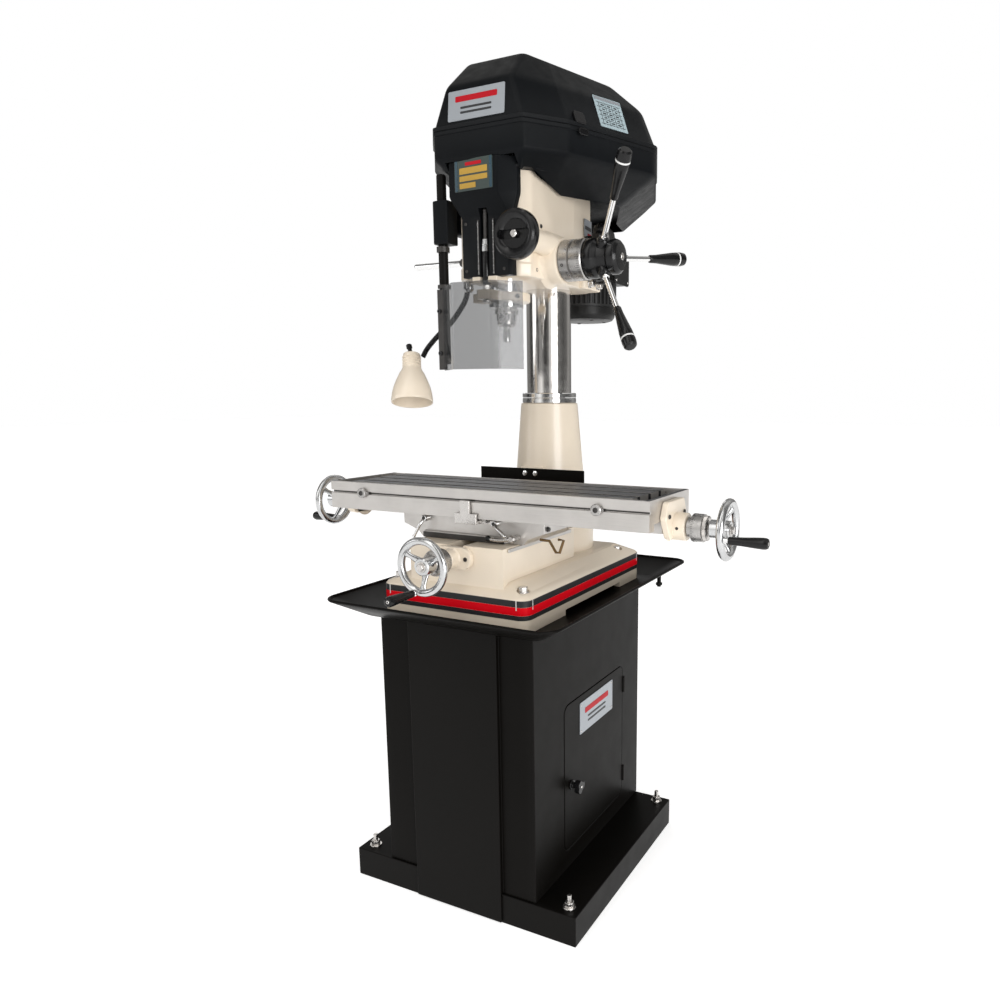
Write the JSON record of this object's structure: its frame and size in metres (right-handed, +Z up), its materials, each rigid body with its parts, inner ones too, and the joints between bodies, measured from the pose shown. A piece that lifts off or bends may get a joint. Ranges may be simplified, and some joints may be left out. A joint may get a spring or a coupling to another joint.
{
  "type": "round column milling machine on stand",
  "caption": "Round-column milling machine with powered head, cross-slide table and handwheels, standing in a chip tray on a closed cabinet stand.",
  "frame": {"origin": "centre of the plinth's underside, on the floor", "axes": "+Z up, operator stands on the -Y side, table travels along X"},
  "size_m": [1.2404, 1.0142, 1.938],
  "materials": {
    "stand_black": "satin",
    "cream": "gloss",
    "ground_steel": "satin",
    "dark_iron": "satin",
    "chrome": "polished",
    "alloy": "satin",
    "guard_black": "satin",
    "grip_black": "gloss",
    "clear": "clear",
    "rubber_black": "matte",
    "motor_black": "satin",
    "stop_red": "gloss"
  },
  "bodies": {
    "stand": {"plinth": "stand_black", "cabinet": "stand_black", "chip_tray": "stand_black", "machine_base": "cream", "column_flange": "cream", "way_guard": "rubber_black", "column_collar": "chrome", "column": "chrome", "cross_screw_bracket": "cream"},
    "door": {"door_panel": "stand_black"},
    "latch": {"door_knob": "grip_black"},
    "cross_screw": {"cross_leadscrew": "ground_steel", "cross_dial": "chrome", "cross_handwheel": "alloy"},
    "cross_handle": {"cross_grip": "grip_black"},
    "saddle": {"saddle": "ground_steel", "table_stop_bracket": "ground_steel"},
    "table_lock_left": {"table_lock_lever_left": "chrome"},
    "table_lock_right": {"table_lock_lever_right": "grip_black"},
    "saddle_lock": {"saddle_lock_lever": "chrome"},
    "table": {"table": "ground_steel", "end_bracket_left": "cream", "end_bracket_right": "cream"},
    "table_screw": {"table_leadscrew": "ground_steel", "table_dial": "chrome", "table_handwheel_left": "alloy", "table_handwheel_right": "alloy"},
    "left_handle": {"table_grip_left": "grip_black"},
    "right_handle": {"table_grip_right": "grip_black"},
    "rack": {"column_rack": "ground_steel"},
    "head": {"head_casting": "cream", "front_cover": "guard_black", "belt_guard_pan": "guard_black", "motor": "motor_black", "front_belt": "rubber_black", "rear_belt": "rubber_black", "feed_dial_ring": "alloy", "shield_post": "stand_black", "lamp_gooseneck": "grip_black", "switch_box": "guard_black"},
    "lid": {"belt_guard_lid": "guard_black"},
    "drive_pulley": {"spindle_pulley": "alloy"},
    "idler": {"idler_pulley": "alloy"},
    "motor_drive": {"motor_pulley": "alloy"},
    "quill": {"quill": "ground_steel", "depth_stop_arm": "cream", "depth_rod": "ground_steel"},
    "spindle": {"spindle": "ground_steel"},
    "feed": {"feed_hub": "grip_black", "feed_lever_1": "chrome", "feed_lever_2": "chrome", "feed_lever_3": "chrome"},
    "fine_feed": {"fine_feed_wheel": "guard_black"},
    "crank": {"elevating_crank": "chrome"},
    "knob_upper": {"tension_knob_upper": "grip_black"},
    "knob_lower": {"tension_knob_lower": "grip_black"},
    "stop": {"stop_button": "stop_red"},
    "shield": {"shield_panel": "clear"},
    "lamp": {"lamp_shade": "cream"},
    "lamp_knob": {"lamp_switch": "grip_black"}
  },
  "joints": [
    {"name": "door_hinge", "type": "hinge", "parent": "stand", "child": "door", "pos_m": [0.2085, 0.1842, 0.304], "axis": [0, 0, 1], "range_deg": [0, 110]},
    {"name": "latch_turn", "type": "hinge", "parent": "door", "child": "latch", "pos_m": [0.22, -0.112, 0.281], "axis": [1, 0, 0], "range_deg": [0, 90]},
    {"name": "cross_screw_turn", "type": "hinge", "parent": "stand", "child": "cross_screw", "pos_m": [0, -0.385, 0.849], "axis": [0, 1, 0], "range_deg": [-13351.2, 8674]},
    {"name": "saddle_slide", "type": "slide", "parent": "stand", "child": "saddle", "axis": [0, 1, 0], "range_m": [-0.094, 0.061]},
    {"name": "cross_handle_spin", "type": "hinge", "parent": "cross_screw", "child": "cross_handle", "pos_m": [-0.014, -0.44, 0.794], "axis": [0, 1, 0], "continuous": true},
    {"name": "table_lock_left_turn", "type": "hinge", "parent": "saddle", "child": "table_lock_left", "pos_m": [-0.118, -0.216, 0.922], "axis": [0, 1, 0], "range_deg": [0, 60]},
    {"name": "table_lock_right_turn", "type": "hinge", "parent": "saddle", "child": "table_lock_right", "pos_m": [0.074, -0.216, 0.922], "axis": [0, 1, 0], "range_deg": [-40, 6]},
    {"name": "saddle_lock_turn", "type": "hinge", "parent": "saddle", "child": "saddle_lock", "pos_m": [0.125, -0.22, 0.893], "axis": [0, 1, 0], "range_deg": [0, 12]},
    {"name": "table_screw_turn", "type": "hinge", "parent": "table", "child": "table_screw", "pos_m": [0.6, -0.152, 0.937], "axis": [1, 0, 0], "range_deg": [-37587.4, 22705.5]},
    {"name": "table_slide", "type": "slide", "parent": "saddle", "child": "table", "axis": [1, 0, 0], "range_m": [-0.265, 0.16]},
    {"name": "left_handle_spin", "type": "hinge", "parent": "table_screw", "child": "left_handle", "pos_m": [-0.51, -0.129, 0.885], "axis": [1, 0, 0], "continuous": true},
    {"name": "right_handle_spin", "type": "hinge", "parent": "table_screw", "child": "right_handle", "pos_m": [0.64, -0.208, 0.926], "axis": [1, 0, 0], "continuous": true},
    {"name": "head_swivel", "type": "hinge", "parent": "stand", "child": "rack", "pos_m": [0, 0.165, 1.4], "axis": [0, 0, 1], "range_deg": [-90, 90]},
    {"name": "head_raise", "type": "slide", "parent": "rack", "child": "head", "axis": [0, 0, 1], "range_m": [-0.14, 0.1]},
    {"name": "crank_turn", "type": "hinge", "parent": "head", "child": "crank", "pos_m": [-0.18, 0.128, 1.56], "axis": [1, 0, 0], "range_deg": [-6400, 4600]},
    {"name": "lid_hinge", "type": "hinge", "parent": "head", "child": "lid", "pos_m": [-0.283, 0.194, 1.7782], "axis": [0, -1, 0], "range_deg": [0, 95]},
    {"name": "spindle_pulley_turn", "type": "hinge", "parent": "head", "child": "drive_pulley", "pos_m": [0, -0.038, 1.83], "axis": [0, 0, 1], "continuous": true},
    {"name": "idler_turn", "type": "hinge", "parent": "head", "child": "idler", "pos_m": [0.165, 0.165, 1.8], "axis": [0, 0, 1], "continuous": true},
    {"name": "motor_turn", "type": "hinge", "parent": "head", "child": "motor_drive", "pos_m": [0, 0.375, 1.8], "axis": [0, 0, 1], "continuous": true},
    {"name": "quill_feed", "type": "slide", "parent": "head", "child": "quill", "axis": [0, 0, 1], "range_m": [-0.127, 0], "stiffness_N_per_m": 150, "springref_m": 1},
    {"name": "spindle_turn", "type": "hinge", "parent": "quill", "child": "spindle", "pos_m": [0, -0.038, 1.4], "axis": [0, 0, 1], "continuous": true},
    {"name": "feed_lever_turn", "type": "hinge", "parent": "head", "child": "feed", "pos_m": [0.221, 0.006, 1.508], "axis": [1, 0, 0], "range_deg": [0, 324]},
    {"name": "fine_feed_turn", "type": "hinge", "parent": "head", "child": "fine_feed", "pos_m": [0.108, -0.165, 1.541], "axis": [0, 1, 0], "continuous": true},
    {"name": "knob_upper_turn", "type": "hinge", "parent": "head", "child": "knob_upper", "pos_m": [0.12, 0.196, 1.59], "axis": [1, 0, 0], "continuous": true},
    {"name": "knob_lower_turn", "type": "hinge", "parent": "head", "child": "knob_lower", "pos_m": [0.12, 0.19, 1.512], "axis": [1, 0, 0], "continuous": true},
    {"name": "stop_press", "type": "slide", "parent": "head", "child": "stop", "axis": [1, 0, 0], "range_m": [0, 0.003], "stiffness_N_per_m": 300},
    {"name": "shield_swing", "type": "hinge", "parent": "head", "child": "shield", "pos_m": [-0.126, -0.108, 1.35], "axis": [0, 0, -1], "range_deg": [0, 95]},
    {"name": "lamp_tilt", "type": "hinge", "parent": "head", "child": "lamp", "pos_m": [-0.213, -0.092, 1.294], "axis": [1, 0, 0], "range_deg": [-25, 35]},
    {"name": "lamp_switch_turn", "type": "hinge", "parent": "lamp", "child": "lamp_knob", "pos_m": [-0.242, -0.097, 1.307], "axis": [-0.2857, 0.0952, 0.9536], "range_deg": [0, 90]}
  ],
  "couplings": [
    {"joint": "cross_screw_turn", "follows": "saddle_slide", "rad_per_m": 2473.7},
    {"joint": "table_screw_turn", "follows": "table_slide", "rad_per_m": 2473.7},
    {"joint": "crank_turn", "follows": "head_raise", "rad_per_m": 785.4},
    {"joint": "feed_lever_turn", "follows": "quill_feed", "rad_per_m": -44.4},
    {"joint": "idler_turn", "follows": "motor_turn", "ratio": 0.6084},
    {"joint": "spindle_pulley_turn", "follows": "motor_turn", "ratio": 0.4674},
    {"joint": "spindle_turn", "follows": "motor_turn", "ratio": 0.4674}
  ]
}
